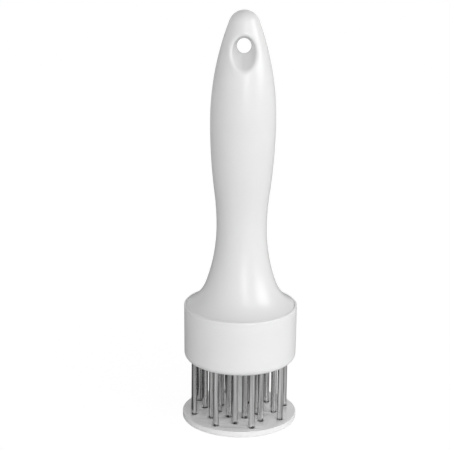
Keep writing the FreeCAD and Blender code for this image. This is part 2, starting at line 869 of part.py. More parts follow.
def make_return_spring():
    """Compression spring round the post's peg, swept along quarter turns. Flats stand for round wire."""
    turns = sheet.get("spring_turns")
    steps = round(turns * 4)
    stops = [turns * step / steps for step in range(steps + 1)]
    edges = []
    for start, end in zip(stops, stops[1:]):
        edges += biarc(coil_point(start), coil_direction(start), coil_point(end), coil_direction(end))
    path = Part.Wire(edges)
    sides = int(sheet.get("spring_wire_sides"))
    turn_step = Rotation(coil_direction(0), 360 / sides)
    spoke = Vector(sheet.get("spring_wire_radius"), 0, 0)
    corners = []
    for side in range(sides + 1):
        corners.append(coil_point(0) + spoke)
        spoke = turn_step.multVec(spoke)
    wire_section = Part.makePolygon(corners)
    spring = doc.addObject("Part::Feature", "return_spring")
    spring.Label = "return_spring"
    spring.Shape = path.makePipeShell([wire_section], True, False)
    spring.Placement = Placement()
    sub_parts.append(spring)
    print(f"return_spring: least gap between turns {least_coil_gap():.2f} mm")
    return spring


def check_and_export():
    """Stop on any failed object, then write one STEP file for each sub-part."""
    for item in doc.Objects:
        if "Invalid" in item.State or "Error" in item.State:
            raise RuntimeError(f"{item.Label} failed: {item.State}")
    os.makedirs("parts", exist_ok=True)
    for part in sub_parts:
        shape = part.Shape
        if shape.isNull() or not shape.isValid() or len(shape.Solids) != 1:
            raise RuntimeError(f"{part.Label} has no single valid solid")
        shape.exportStep(f"parts/{part.Label}.step")
        print(f"{part.Label}: {shape.Volume:.1f} mm3")


make_handle()
make_barrel()
make_blade_retainer()
make_blades()
make_guard_plate()
make_guide_post()
make_post_screw()
make_return_spring()
doc.recompute()
check_and_export()
print(f"guard stroke {stroke.value:.2f} mm, hanging hole at {hole_height.value:.2f} mm")
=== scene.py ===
import math

import bmesh
import bpy
from mathutils import Matrix, Vector


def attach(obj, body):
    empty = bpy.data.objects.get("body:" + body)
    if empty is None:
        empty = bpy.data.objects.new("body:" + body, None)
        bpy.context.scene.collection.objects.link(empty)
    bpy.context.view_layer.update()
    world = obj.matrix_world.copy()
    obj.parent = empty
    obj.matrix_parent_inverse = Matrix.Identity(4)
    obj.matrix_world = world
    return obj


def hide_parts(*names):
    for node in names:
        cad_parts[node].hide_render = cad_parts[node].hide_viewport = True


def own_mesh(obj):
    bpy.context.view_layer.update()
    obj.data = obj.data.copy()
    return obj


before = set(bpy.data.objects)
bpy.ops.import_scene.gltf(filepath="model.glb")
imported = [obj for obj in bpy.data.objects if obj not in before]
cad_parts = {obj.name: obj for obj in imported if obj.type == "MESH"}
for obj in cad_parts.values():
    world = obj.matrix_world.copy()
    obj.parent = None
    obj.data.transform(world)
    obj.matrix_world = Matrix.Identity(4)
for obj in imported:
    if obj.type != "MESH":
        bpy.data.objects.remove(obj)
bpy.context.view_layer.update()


# Guard plate. A thin disc, injection moulded in white plastic, with a hole for every blade and
# soft edges from the mould. The stem's screw holds it from below, in a countersunk hole.
PLATE_RADIUS = 0.0265
PLATE_THICKNESS = 0.003
PLATE_FOOT_ROUND = 0.0009
PLATE_TOP_ROUND = 0.00035
PLATE_HOLE_RADIUS = 0.00155
PLATE_HOLE_LIP = 0.00012
THROUGH_PLATE = (-0.001, 0.004)
SCREW_RADIUS = 0.0015
SCREW_HEAD_RADIUS = 0.00305
SCREW_HEAD_DEPTH = 0.0015
SCREW_SEAT_FOOT = -0.0001
SAME_LEVEL = 0.00001
SAME_RADIUS = 0.00005
NOISE_REACH = (0.3, 0.7)
BLADE_RINGS = {"outer": (0.02175, 15.2), "middle": (0.0162, 37.7), "inner": (0.0098, 15.2)}
BLADES_PER_RING = 8


def blade_places():
    """Name, X, Y and turn of every blade, and so of its hole in the plate and in the barrel."""
    for ring, (radius, first) in BLADE_RINGS.items():
        for number in range(BLADES_PER_RING):
            turn = math.radians(first + 360 * number / BLADES_PER_RING)
            yield f"{ring}_{number + 1}", radius * math.cos(turn), radius * math.sin(turn), turn


def work_on(piece):
    """Make one piece the only selected object, and open it in edit mode."""
    if bpy.context.object and bpy.context.object.mode != "OBJECT":
        bpy.ops.object.mode_set(mode="OBJECT")
    bpy.ops.object.select_all(action="DESELECT")
    piece.select_set(True)
    bpy.context.view_layer.objects.active = piece
    bpy.ops.object.mode_set(mode="EDIT")


def pick(piece, kind, wanted):
    """In edit mode, select only the verts, edges or faces whose place passes a test."""
    bpy.ops.mesh.select_mode(type={"verts": "VERT", "edges": "EDGE", "faces": "FACE"}[kind])
    bpy.ops.mesh.select_all(action="DESELECT")
    mesh = bmesh.from_edit_mesh(piece.data)
    for part in getattr(mesh, kind):
        part.select_set(bool(wanted(part)))
    bmesh.update_edit_mesh(piece.data)


def turned(name, rings, sides=160):
    """Round solid: a disc drawn on through radii and heights, ring by ring, to its last face."""
    bpy.ops.object.select_all(action="DESELECT")
    radius, height = rings[0]
    bpy.ops.mesh.primitive_circle_add(
        vertices=sides, radius=radius, location=(0, 0, height), fill_type="NGON"
    )
    piece = bpy.context.object
    piece.name = piece.data.name = name
    bpy.ops.object.transform_apply(location=True, rotation=True, scale=True)
    work_on(piece)
    bpy.ops.mesh.select_all(action="SELECT")
    for next_radius, next_height in rings[1:]:
        bpy.ops.mesh.extrude_region_move(
            TRANSFORM_OT_translate={"value": (0, 0, next_height - height)}
        )
        factor = next_radius / radius
        bpy.ops.transform.resize(
            value=(factor, factor, 1), center_override=(0, 0, next_height)
        )
        radius, height = next_radius, next_height
    bpy.ops.mesh.select_all(action="SELECT")
    bpy.ops.mesh.normals_make_consistent(inside=False)
    bpy.ops.object.mode_set(mode="OBJECT")
    return piece


def round_corner(radius, height, size, start, end, steps):
    """Rings of a rounded corner: a quarter circle about a centre, from one angle to another."""
    rings = []
    for step in range(steps + 1):
        angle = math.radians(start + (end - start) * step / steps)
        rings.append((radius + size * math.cos(angle), height + size * math.sin(angle)))
    return rings


def pin(radius, low, high, x=0, y=0, sides=32):
    """Round cutter that stands at a place in the plan."""
    bpy.ops.object.select_all(action="DESELECT")
    bpy.ops.mesh.primitive_cylinder_add(
        vertices=sides, radius=radius, depth=high - low, location=(x, y, (low + high) / 2)
    )
    cutter = bpy.context.object
    bpy.ops.object.transform_apply(location=True, rotation=True, scale=True)
    return cutter


def joined(pieces):
    """Several objects made into one."""
    bpy.ops.object.select_all(action="DESELECT")
    for piece in pieces:
        piece.select_set(True)
    bpy.context.view_layer.objects.active = pieces[0]
    bpy.ops.object.join()
    return pieces[0]


def cut(piece, cutter):
    """Take the cutter's shape out of the piece, and throw the cutter away."""
    bpy.ops.object.select_all(action="DESELECT")
    piece.select_set(True)
    bpy.context.view_layer.objects.active = piece
    saw = piece.modifiers.new("cut", "BOOLEAN")
    saw.operation = "DIFFERENCE"
    saw.solver = "EXACT"
    saw.object = cutter
    bpy.ops.object.modifier_apply(modifier=saw.name)
    bpy.data.objects.remove(cutter)


def soften(piece, edge_test, size, segments):
    """Round the edges that a test picks."""
    work_on(piece)
    pick(piece, "edges", edge_test)
    bpy.ops.mesh.bevel(offset=size, segments=segments, affect="EDGES")
    bpy.ops.object.mode_set(mode="OBJECT")


def smooth(piece, degrees=35):
    """Smooth shading, with a crease only at edges sharper than an angle."""
    bpy.ops.object.select_all(action="DESELECT")
    piece.select_set(True)
    bpy.context.view_layer.objects.active = piece
    bpy.ops.object.shade_smooth_by_angle(angle=math.radians(degrees))


def paint(name):
    """New node material, with its nodes, links and the shader that it ends in."""
    material = bpy.data.materials.new(name)
    material.use_nodes = True
    nodes = material.node_tree.nodes
    return material, nodes, material.node_tree.links, nodes["Principled BSDF"]


def spread(nodes, links, value, old_range, new_range=(0, 1)):
    """Value carried from an old range to a new one, and held at the new range's ends."""
    change = nodes.new("ShaderNodeMapRange")
    for name, limit in zip(("From Min", "From Max", "To Min", "To Max"), (*old_range, *new_range)):
        change.inputs[name].default_value = limit
    links.new(value, change.inputs["Value"])
    return change.outputs["Result"]


def noise_between(nodes, links, place, scale, detail, low, high):
    """Noise over the piece, spread from a low value to a high one."""
    noise = nodes.new("ShaderNodeTexNoise")
    noise.inputs["Scale"].default_value = scale
    noise.inputs["Detail"].default_value = detail
    links.new(place, noise.inputs["Vector"])
    return spread(nodes, links, noise.outputs["Fac"], NOISE_REACH, (low, high))


def two_tones(nodes, links, amount, first, second):
    """Colour that goes from a first tone to a second one by an amount."""
    mix = nodes.new("ShaderNodeMix")
    mix.data_type = "RGBA"
    mix.inputs["A"].default_value = (*first, 1)
    mix.inputs["B"].default_value = (*second, 1)
    links.new(amount, mix.inputs["Factor"])
    return mix.outputs["Result"]


def moulded_white(name, light, shade, gloss):
    """Opaque white plastic: faint flow clouds, uneven polish, and the mould's fine orange peel."""
    material, nodes, links, shader = paint(name)
    place = nodes.new("ShaderNodeTexCoord").outputs["Object"]
    clouds = noise_between(nodes, links, place, scale=45, detail=3, low=0, high=1)
    links.new(two_tones(nodes, links, clouds, light, shade), shader.inputs["Base Color"])
    polish = noise_between(nodes, links, place, scale=260, detail=4, low=gloss - 0.03, high=gloss + 0.03)
    links.new(polish, shader.inputs["Roughness"])
    peel = noise_between(nodes, links, place, scale=420, detail=1, low=0, high=1)
    bump = nodes.new("ShaderNodeBump")
    bump.inputs["Strength"].default_value = 0.2
    bump.inputs["Distance"].default_value = 0.000004
    links.new(peel, bump.inputs["Height"])
    links.new(bump.outputs["Normal"], shader.inputs["Normal"])
    shader.inputs["Specular IOR Level"].default_value = 0.45
    return material


def dress(piece, material, body, node):
    """Give a finished piece its material and body, in place of the frame's own node."""
    piece.data.materials.clear()
    piece.data.materials.append(material)
    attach(piece, body)
    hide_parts(node)


plate_rings = round_corner(
    PLATE_RADIUS - PLATE_FOOT_ROUND, PLATE_FOOT_ROUND, PLATE_FOOT_ROUND, -90, 0, 8
)
plate_rings += round_corner(
    PLATE_RADIUS - PLATE_TOP_ROUND, PLATE_THICKNESS - PLATE_TOP_ROUND, PLATE_TOP_ROUND, 0, 90, 5
)
guard_disc = turned("guard_disc", plate_rings, sides=192)
plate_pins = [pin(PLATE_HOLE_RADIUS, *THROUGH_PLATE, x, y) for _, x, y, _ in blade_places()]
cut(guard_disc, joined(plate_pins))
screw_seat_rings = [
    (SCREW_HEAD_RADIUS, SCREW_SEAT_FOOT),
    (SCREW_RADIUS, SCREW_HEAD_DEPTH),
    (SCREW_RADIUS, THROUGH_PLATE[1]),
]
screw_head_seat = turned("screw_head_seat", screw_seat_rings, sides=48)
cut(guard_disc, screw_head_seat)


def on_plate_hole(edge):
    """An edge of a blade hole's rim, on the plate's top or underside."""
    for vert in edge.verts:
        flat = vert.co.xy
        level = min(abs(vert.co.z), abs(vert.co.z - PLATE_THICKNESS))
        near = min((flat - Vector((x, y))).length for _, x, y, _ in blade_places())
        if level > SAME_LEVEL or abs(near - PLATE_HOLE_RADIUS) > SAME_RADIUS:
            return False
    return True


soften(guard_disc, on_plate_hole, PLATE_HOLE_LIP, 2)
smooth(guard_disc)
plate_white = moulded_white("guard_plate_white", (0.92, 0.92, 0.92), (0.90, 0.90, 0.90), 0.36)
dress(guard_disc, plate_white, "guard", "guard_plate")


# Guide stem. A white moulded post that stands in the middle of the plate and slides in the
# barrel's floor. Its head, up in the handle's bore, stops the plate's fall and carries the spring.
STEM_RADIUS = 0.003
STEM_HEAD_RADIUS = 0.0058
STEM_HEAD_FOOT = 0.0382
STEM_HEAD_TOP = 0.0402
STEM_HEAD_ROUND = 0.0003
PEG_RADIUS = 0.0036
PEG_TOP = 0.0432
PEG_ROUND = 0.0006
SCREW_HOLE = (0.002, 0.0125)

stem_rings = [(STEM_RADIUS, PLATE_THICKNESS), (STEM_RADIUS, STEM_HEAD_FOOT)]
stem_rings += round_corner(
    STEM_HEAD_RADIUS - STEM_HEAD_ROUND, STEM_HEAD_FOOT + STEM_HEAD_ROUND, STEM_HEAD_ROUND, -90, 0, 3
)
stem_rings += round_corner(
    STEM_HEAD_RADIUS - STEM_HEAD_ROUND, STEM_HEAD_TOP - STEM_HEAD_ROUND, STEM_HEAD_ROUND, 0, 90, 3
)
stem_rings += [(PEG_RADIUS, STEM_HEAD_TOP), (PEG_RADIUS, PEG_TOP - PEG_ROUND)]
stem_rings += round_corner(PEG_RADIUS - PEG_ROUND, PEG_TOP - PEG_ROUND, PEG_ROUND, 0, 90, 4)
guide_stem = turned("guide_stem", stem_rings, sides=64)
cut(guide_stem, pin(SCREW_RADIUS, *SCREW_HOLE))
smooth(guide_stem)
stem_white = moulded_white("guide_stem_white", (0.85, 0.85, 0.85), (0.82, 0.82, 0.82), 0.34)
dress(guide_stem, stem_white, "guard", "guide_post")


# Plate screw. A small countersunk steel screw, bright zinc plated, with a cross recess. It comes
# up through the plate into the stem, and its head lies flush with the plate's underside.
def zinc_plate(name, light, shade, gloss):
    """Plated steel: a grey with soft clouds and fine pits."""
    material, nodes, links, shader = paint(name)
    place = nodes.new("ShaderNodeTexCoord").outputs["Object"]
    clouds = noise_between(nodes, links, place, scale=700, detail=4, low=0, high=1)
    links.new(two_tones(nodes, links, clouds, light, shade), shader.inputs["Base Color"])
    pits = noise_between(nodes, links, place, scale=2400, detail=2, low=gloss - 0.06, high=gloss + 0.06)
    links.new(pits, shader.inputs["Roughness"])
    shader.inputs["Metallic"].default_value = 1
    return material


screw_zinc = zinc_plate("screw_zinc", (0.56, 0.57, 0.58), (0.47, 0.48, 0.49), 0.34)
for screw_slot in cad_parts["post_screw"].material_slots:
    screw_slot.material = screw_zinc


# Blades. Twenty-four round steel pins in three rings, drawn smooth, tapered and ground to a point
# with two bevels. Each has a nail's head that hangs in the barrel's floor.
BLADE_RINGS_UP = [
    (0.00012, 0.0006),
    (0.00046, 0.0012),
    (0.00076, 0.0020),
    (0.00100, 0.0028),
    (0.00119, 0.0034),
    (0.00131, 0.0039),
    (0.00136, 0.0044),
    (0.00136, 0.0214),
    (0.00136, 0.0341),
    (0.0018, 0.0341),
    (0.0018, 0.0349),
    (0.0016, 0.0351),
]
BEVEL_FOOT = (0.0001, 0, 0.0006)
BEVEL_LEAN = (0.939, 0.344)


def drawn_steel_and_painted_bands(name, light, shade, gloss):
    """Bare steel wire, drawn lengthwise: long fine lines in tone, polish and height. With far apart
    colours, the lines in tone are painted reflection bands, bright and dark, down the wire.
    """
    material, nodes, links, shader = paint(name)
    place = nodes.new("ShaderNodeTexCoord").outputs["Object"]
    lengthwise = nodes.new("ShaderNodeMapping")
    lengthwise.inputs["Scale"].default_value = (1, 1, 0.02)
    links.new(place, lengthwise.inputs["Vector"])
    lines = lengthwise.outputs["Vector"]
    # Lines in tone: fine drawing lines, and with far apart colours painted reflection bands.
    tone_and_painted_reflection = noise_between(nodes, links, lines, scale=1500, detail=3, low=0, high=1)
    links.new(two_tones(nodes, links, tone_and_painted_reflection, light, shade), shader.inputs["Base Color"])
    polish = noise_between(nodes, links, lines, scale=3100, detail=2, low=gloss - 0.05, high=gloss + 0.07)
    links.new(polish, shader.inputs["Roughness"])
    bump = nodes.new("ShaderNodeBump")
    bump.inputs["Strength"].default_value = 0.6
    bump.inputs["Distance"].default_value = 0.000006
    scratches = noise_between(nodes, links, lines, scale=2600, detail=2, low=0, high=1)
    links.new(scratches, bump.inputs["Height"])
    links.new(bump.outputs["Normal"], shader.inputs["Normal"])
    shader.inputs["Metallic"].default_value = 1
    shader.inputs["Specular Tint"].default_value = (0.05, 0.05, 0.05, 1)
    return material


# Near white and dark grey steel paint bright and dark reflection bands down each blade: painted
# reflection.
blade_steel = drawn_steel_and_painted_bands("blade_steel", (0.98, 0.98, 0.98), (0.3, 0.3, 0.3), 0.17)
blade_form = turned("blade_form", BLADE_RINGS_UP, sides=32)
work_on(blade_form)
for side in (1, -1):
    bpy.ops.mesh.select_all(action="SELECT")
    bpy.ops.mesh.bisect(
        plane_co=(BEVEL_FOOT[0] * side, 0, BEVEL_FOOT[2]),
        plane_no=(BEVEL_LEAN[0] * side, 0, -BEVEL_LEAN[1]),
        use_fill=True,
        clear_outer=True,
    )
bpy.ops.object.mode_set(mode="OBJECT")
smooth(blade_form, 30)
for blade_name, x, y, turn in blade_places():
    blade = blade_form.copy()
    blade.data = blade_form.data.copy()
    blade.name = blade.data.name = f"pin_{blade_name}"
    bpy.context.collection.objects.link(blade)
    blade.data.transform(Matrix.Translation((x, y, 0)) @ Matrix.Rotation(turn, 4, "Z"))
    dress(blade, blade_steel, "tool", f"blade_{blade_name}")
bpy.data.objects.remove(blade_form)


# Barrel. A deep round cup, injection moulded in white gloss plastic, with a rounded foot and a
# thin lip that stands round the handle's flange. The blades hang in holes through its floor.
BARREL_FOOT = 0.0296
BARREL_TOP = 0.0561
BARREL_RADIUS = 0.0261
BARREL_FOOT_RADIUS = 0.02588
BARREL_FOOT_ROUND = 0.003
BARREL_WALL = [(0.02593, 0.038), (0.02599, 0.0436), (0.02605, 0.0500)]
BARREL_FLOOR_TOP = 0.0341
THROUGH_FLOOR = (0.028, 0.036)
BARREL_BORE = 0.024
LIP_BORE = 0.02495
LIP_OUTER_ROUND = 0.001
LIP_FLATNESS = 0.78
LIP_LINE = 0.0549
LIP_LINE_HALF_WIDTH = 0.00013
LIP_LINE_DEPTH = 0.0002
LIP_LINE_EDGE = 0.00002
LIP_INNER_ROUND = 0.00013
LEDGE = 0.0533
SNAP_GROOVE = 0.0493
SNAP_HALF_WIDTH = 0.0006
SNAP_DEPTH = 0.0004
BLADE_HOLE_RADIUS = 0.00138
STEM_HOLE_RADIUS = 0.00308

barrel_rings = round_corner(
    BARREL_FOOT_RADIUS - BARREL_FOOT_ROUND, BARREL_FOOT + BARREL_FOOT_ROUND, BARREL_FOOT_ROUND, -90, 0, 14
)
barrel_rings += BARREL_WALL
barrel_rings += [
    (BARREL_RADIUS, LIP_LINE - 2 * LIP_LINE_HALF_WIDTH),
    (BARREL_RADIUS - LIP_LINE_EDGE, LIP_LINE - LIP_LINE_HALF_WIDTH),
    (BARREL_RADIUS - LIP_LINE_DEPTH, LIP_LINE - LIP_LINE_HALF_WIDTH / 2),
    (BARREL_RADIUS - LIP_LINE_DEPTH, LIP_LINE + LIP_LINE_HALF_WIDTH / 2),
    (BARREL_RADIUS - LIP_LINE_EDGE, LIP_LINE + LIP_LINE_HALF_WIDTH),
    (BARREL_RADIUS, LIP_LINE + 2 * LIP_LINE_HALF_WIDTH),
]
for radius, height in round_corner(BARREL_RADIUS - LIP_OUTER_ROUND, 0, LIP_OUTER_ROUND, 0, 90, 10):
    barrel_rings.append((radius, BARREL_TOP - (LIP_OUTER_ROUND - height) * LIP_FLATNESS))
barrel_rings += round_corner(
    LIP_BORE + LIP_INNER_ROUND, BARREL_TOP - LIP_INNER_ROUND, LIP_INNER_ROUND, 90, 180, 4
)
barrel_rings += [
    (LIP_BORE, LEDGE),
    (BARREL_BORE, LEDGE),
    (BARREL_BORE, SNAP_GROOVE + SNAP_HALF_WIDTH),
    (BARREL_BORE + SNAP_DEPTH, SNAP_GROOVE),
    (BARREL_BORE, SNAP_GROOVE - SNAP_HALF_WIDTH),
    (BARREL_BORE, BARREL_FLOOR_TOP),
]
barrel_cup = turned("barrel_cup", barrel_rings, sides=192)
floor_pins = [pin(BLADE_HOLE_RADIUS, *THROUGH_FLOOR, x, y) for _, x, y, _ in blade_places()]
cut(barrel_cup, joined(floor_pins + [pin(STEM_HOLE_RADIUS, *THROUGH_FLOOR, sides=64)]))
smooth(barrel_cup)
barrel_white = moulded_white("barrel_white", (0.90, 0.90, 0.90), (0.88, 0.88, 0.88), 0.33)
dress(barrel_cup, barrel_white, "tool", "barrel")


# Blade retainer. A plain disc of natural, matt plastic that lies on the blades' heads inside the
# barrel, and hands the thrust of the blades on to the handle's foot.
retainer_white = moulded_white("retainer_white", (0.78, 0.77, 0.74), (0.73, 0.72, 0.69), 0.55)
for retainer_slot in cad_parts["blade_retainer"].material_slots:
    retainer_slot.material = retainer_white


# Return spring. A compression spring of steel wire, wound with close turns at both ends. It stands
# on the stem's head round the peg, in the handle's bore, and pushes the guard plate down again.
SPRING_RADIUS = 0.0047
SPRING_WIRE = 0.00045
SPRING_FOOT = 0.04025
SPRING_TOP = 0.07825
SPRING_TURNS = 6
SPRING_END_TURNS = 0.75
SPRING_END_PITCH = 0.00135
SPRING_KNOTS_A_TURN = 16
WELD = 0.000002


def spring_rise(turns):
    """Height of the wire's middle after a number of turns: close at the ends, open between."""
    whole = SPRING_TOP - SPRING_FOOT - 2 * SPRING_WIRE
    open_turns = SPRING_TURNS - 2 * SPRING_END_TURNS
    open_pitch = (whole - 2 * SPRING_END_TURNS * SPRING_END_PITCH) / open_turns
    below = min(turns, SPRING_END_TURNS)
    between = min(max(turns - SPRING_END_TURNS, 0), open_turns)
    above = max(turns - SPRING_END_TURNS - open_turns, 0)
    return SPRING_FOOT + SPRING_WIRE + (below + above) * SPRING_END_PITCH + between * open_pitch


bpy.ops.object.select_all(action="DESELECT")
bpy.ops.curve.primitive_bezier_curve_add(location=(0, 0, 0))
coil_spring = bpy.context.object
coil_spring.name = coil_spring.data.name = "coil_spring"
coil_spring.data.bevel_depth = SPRING_WIRE
coil_spring.data.bevel_resolution = 2
coil_spring.data.use_fill_caps = True
wire_path = coil_spring.data.splines[0]
wire_path.resolution_u = 3
wire_path.bezier_points.add(SPRING_TURNS * SPRING_KNOTS_A_TURN + 1 - len(wire_path.bezier_points))
for number, knot in enumerate(wire_path.bezier_points):
    turns = number / SPRING_KNOTS_A_TURN
    across, along = math.cos(math.tau * turns), math.sin(math.tau * turns)
    knot.handle_left_type = knot.handle_right_type = "AUTO"
    knot.co = (SPRING_RADIUS * across, SPRING_RADIUS * along, spring_rise(turns))
bpy.ops.object.convert(target="MESH")
coil_spring = bpy.context.object
work_on(coil_spring)
bpy.ops.mesh.select_all(action="SELECT")
bpy.ops.mesh.remove_doubles(threshold=WELD)
bpy.ops.mesh.normals_make_consistent(inside=False)
bpy.ops.object.mode_set(mode="OBJECT")
smooth(coil_spring, 50)
spring_wire = drawn_steel_and_painted_bands("spring_wire", (0.42, 0.42, 0.43), (0.32, 0.32, 0.33), 0.36)
dress(coil_spring, spring_wire, "tool", "return_spring")
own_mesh(coil_spring)


# Handle. A long round grip, moulded in white gloss plastic in one piece with the flange and the
# cored foot that snaps into the barrel. A hanging hole with two flared mouths runs through its tip.

# Half outline from the tip down to the flange: each knot with the handles before and after it.
GRIP_OUTLINE = [
    ((0, 0.19335), (-0.002914, 0.19335), (0.002914, 0.19335)),
    ((0.00655, 0.18882), (0.005522, 0.191547), (0.012017, 0.17432)),
    ((0.01482, 0.14345), (0.01482, 0.158947), (0.01482, 0.131933)),
    ((0.01252, 0.10901), (0.014049, 0.120425), (0.011825, 0.103818)),
    ((0.01148, 0.09335), (0.01148, 0.098589), (0.01148, 0.084112)),
    ((0.0162, 0.06625), (0.013077, 0.074944), (0.017726, 0.062003)),
    ((0.02492, 0.05605), (0.02082, 0.05828), (0.0250, 0.0560)),
]
FLANGE_RADIUS = 0.02492
FLANGE_EDGE_ROUND = 0.00018
FLANGE_TOP = GRIP_OUTLINE[-1][0][1]
SAME_HEIGHT = 0.000001
PLUG_RADIUS = 0.0239
PLUG_FOOT = 0.0381
PLUG_CORNERS = [
    (FLANGE_RADIUS, LEDGE),
    (PLUG_RADIUS, LEDGE),
    (PLUG_RADIUS, SNAP_GROOVE + SNAP_HALF_WIDTH),
    (PLUG_RADIUS + SNAP_DEPTH, SNAP_GROOVE),
    (PLUG_RADIUS, SNAP_GROOVE - SNAP_HALF_WIDTH),
    (PLUG_RADIUS, PLUG_FOOT),
]
GRIP_STEPS = 48
GRIP_SIDES = 160
SPRING_BORE = 0.00625
SPRING_SEAT = 0.0783
POCKET_INNER = 0.00885
POCKET_OUTER = 0.0213
POCKET_TOP = 0.0541
POCKET_RIB = 0.0018
POCKET_RIBS = 4
RIB_LENGTH = 0.06
RIB_OVERCUT = 0.006
OVERCUT = 0.001
HOLE_HALF_WIDTH = 0.00325
HOLE_HALF_HEIGHT = 0.0036
HOLE_HEIGHT = 0.17735
HALF_THROAT = 0.001
MOUTH_HALF_WIDTH = 0.0073
MOUTH_HALF_HEIGHT = 0.0093
MOUTH_DROP = 0.0012
MOUTH_DEPTH = 0.01482
MOUTH_ROUND = 0.0016
MOUTH_PATCH = (math.radians(60), 0.1640, 0.1885)
MOUTH_SIDE = 0.003
TIP_POLE_RADIUS = 0.001
HALVINGS = 40
SKIN_LOOPS = 4
ROUND_LOOPS = 8
FLARE_LOOPS = 10


def draw_grip_outline():
    """Half outline of the grip as a curve, made into a chain of edges."""
    bpy.ops.object.select_all(action="DESELECT")
    bpy.ops.curve.primitive_bezier_curve_add(location=(0, 0, 0))
    outline = bpy.context.object
    outline.name = outline.data.name = "grip"
    spline = outline.data.splines[0]
    spline.resolution_u = GRIP_STEPS
    spline.bezier_points.add(len(GRIP_OUTLINE) - 2)
    for point, (knot, before, after) in zip(spline.bezier_points, GRIP_OUTLINE):
        point.handle_left_type = point.handle_right_type = "FREE"
        point.co = (knot[0], 0, knot[1])
        point.handle_left = (before[0], 0, before[1])
        point.handle_right = (after[0], 0, after[1])
    bpy.ops.object.convert(target="MESH")
    return bpy.context.object


grip = draw_grip_outline()
grip_profile = sorted((vert.co.z, vert.co.x) for vert in grip.data.vertices)
work_on(grip)
end = (FLANGE_RADIUS, FLANGE_TOP)
pick(grip, "verts", lambda vert: abs(vert.co.z - FLANGE_TOP) < SAME_HEIGHT)
for corner in PLUG_CORNERS:
    step = (corner[0] - end[0], 0, corner[1] - end[1])
    bpy.ops.mesh.extrude_region_move(TRANSFORM_OT_translate={"value": step})
    end = corner
bpy.ops.mesh.select_all(action="SELECT")
bpy.ops.mesh.spin(steps=GRIP_SIDES, angle=math.tau, center=(0, 0, 0), axis=(0, 0, 1))
bpy.ops.mesh.select_all(action="SELECT")
bpy.ops.mesh.remove_doubles(threshold=WELD)
pick(grip, "edges", lambda edge: edge.is_boundary)
bpy.ops.mesh.edge_face_add()
bpy.ops.mesh.select_all(action="SELECT")
bpy.ops.mesh.normals_make_consistent(inside=False)
bpy.ops.object.mode_set(mode="OBJECT")
soften(
    grip,
    lambda edge: all(
        abs(vert.co.z - FLANGE_TOP) < SAME_HEIGHT
        and abs(vert.co.xy.length - FLANGE_RADIUS) < SAME_LEVEL
        for vert in edge.verts
    ),
    FLANGE_EDGE_ROUND,
    4,
)

# The foot's pockets: a short tube between two walls, parted by ribs, and the spring's bore
pockets = pin(POCKET_OUTER, PLUG_FOOT - OVERCUT, POCKET_TOP, sides=96)
cut(pockets, pin(POCKET_INNER, PLUG_FOOT - 2 * OVERCUT, POCKET_TOP + OVERCUT, sides=64))
for rib in range(POCKET_RIBS):
    bpy.ops.object.select_all(action="DESELECT")
    bpy.ops.mesh.primitive_cube_add(size=1, location=(0, 0, (PLUG_FOOT + POCKET_TOP) / 2))
    rib_cutter = bpy.context.object
    rib_cutter.scale = (RIB_LENGTH, POCKET_RIB, POCKET_TOP - PLUG_FOOT + RIB_OVERCUT)
    rib_cutter.rotation_euler.z = math.radians(180 / POCKET_RIBS * rib)
    bpy.ops.object.transform_apply(location=True, rotation=True, scale=True)
    cut(pockets, rib_cutter)
cut(grip, pockets)
cut(grip, pin(SPRING_BORE, PLUG_FOOT - OVERCUT, SPRING_SEAT, sides=64))


def grip_radius(height):
    """Radius of the grip's skin at a height, from the outline's own points."""
    for (low, low_radius), (high, high_radius) in zip(grip_profile, grip_profile[1:]):
        if low <= height <= high:
            return low_radius + (high_radius - low_radius) * (height - low) / (high - low)
    return 0


def skin_depth(x, height):
    """How far out the skin lies, along Y, at an X and a height."""
    return math.sqrt(max(grip_radius(height) ** 2 - x * x, 0))


def flare_point(turn, depth):
    """Point of the flared mouth's wall, at a turn round the hole and a depth along Y."""
    share = (depth - HALF_THROAT) / (MOUTH_DEPTH - HALF_THROAT)
    half_width = HOLE_HALF_WIDTH + (MOUTH_HALF_WIDTH - HOLE_HALF_WIDTH) * share
    half_height = HOLE_HALF_HEIGHT + (MOUTH_HALF_HEIGHT - HOLE_HALF_HEIGHT) * share
    middle = HOLE_HEIGHT - MOUTH_DROP * share
    return Vector((half_width * math.cos(turn), depth, middle + half_height * math.sin(turn)))


def on_skin(x, height):
    """Point of the grip's skin at an X and a height."""
    return Vector((x, skin_depth(x, height), height))


def rim_point(turn):
    """Where the flare's wall comes out of the skin, found by halving."""
    low, high = HALF_THROAT, MOUTH_DEPTH
    for _ in range(HALVINGS):
        middle = (low + high) / 2
        wall = flare_point(turn, middle)
        if middle < skin_depth(wall.x, wall.z):
            low = middle
        else:
            high = middle
    return flare_point(turn, low)


def mouth_section(turn, start):
    """Points from the patch's edge along the skin, over the rounded rim and down to the throat."""
    rim = rim_point(turn)
    outwards = Vector((rim.x, 0, rim.z - HOLE_HEIGHT)).normalized()
    near = rim + outwards * MOUTH_ROUND
    skin_end = on_skin(near.x, near.z)
    wall_start = flare_point(turn, rim.y - MOUTH_ROUND)
    points = []
    for loop in range(SKIN_LOOPS):
        share = (loop + 1) / SKIN_LOOPS
        points.append(on_skin(*(start.xz.lerp(skin_end.xz, share))))
    for loop in range(ROUND_LOOPS):
        share = (loop + 1) / ROUND_LOOPS
        points.append(skin_end.lerp(rim, share).lerp(rim.lerp(wall_start, share), share))
    for loop in range(FLARE_LOOPS):
        share = (loop + 1) / FLARE_LOOPS
        points.append(flare_point(turn, wall_start.y + (HALF_THROAT - wall_start.y) * share))
    return points


def in_mouth_patch(face, side):
    """A face of the skin that gives way to one of the two mouths."""
    half_turn, foot, top = MOUTH_PATCH
    middle = face.calc_center_median()
    if middle.xy.length < TIP_POLE_RADIUS or not foot < middle.z < top:
        return False
    return abs(math.atan2(middle.x, -middle.y * side)) < half_turn


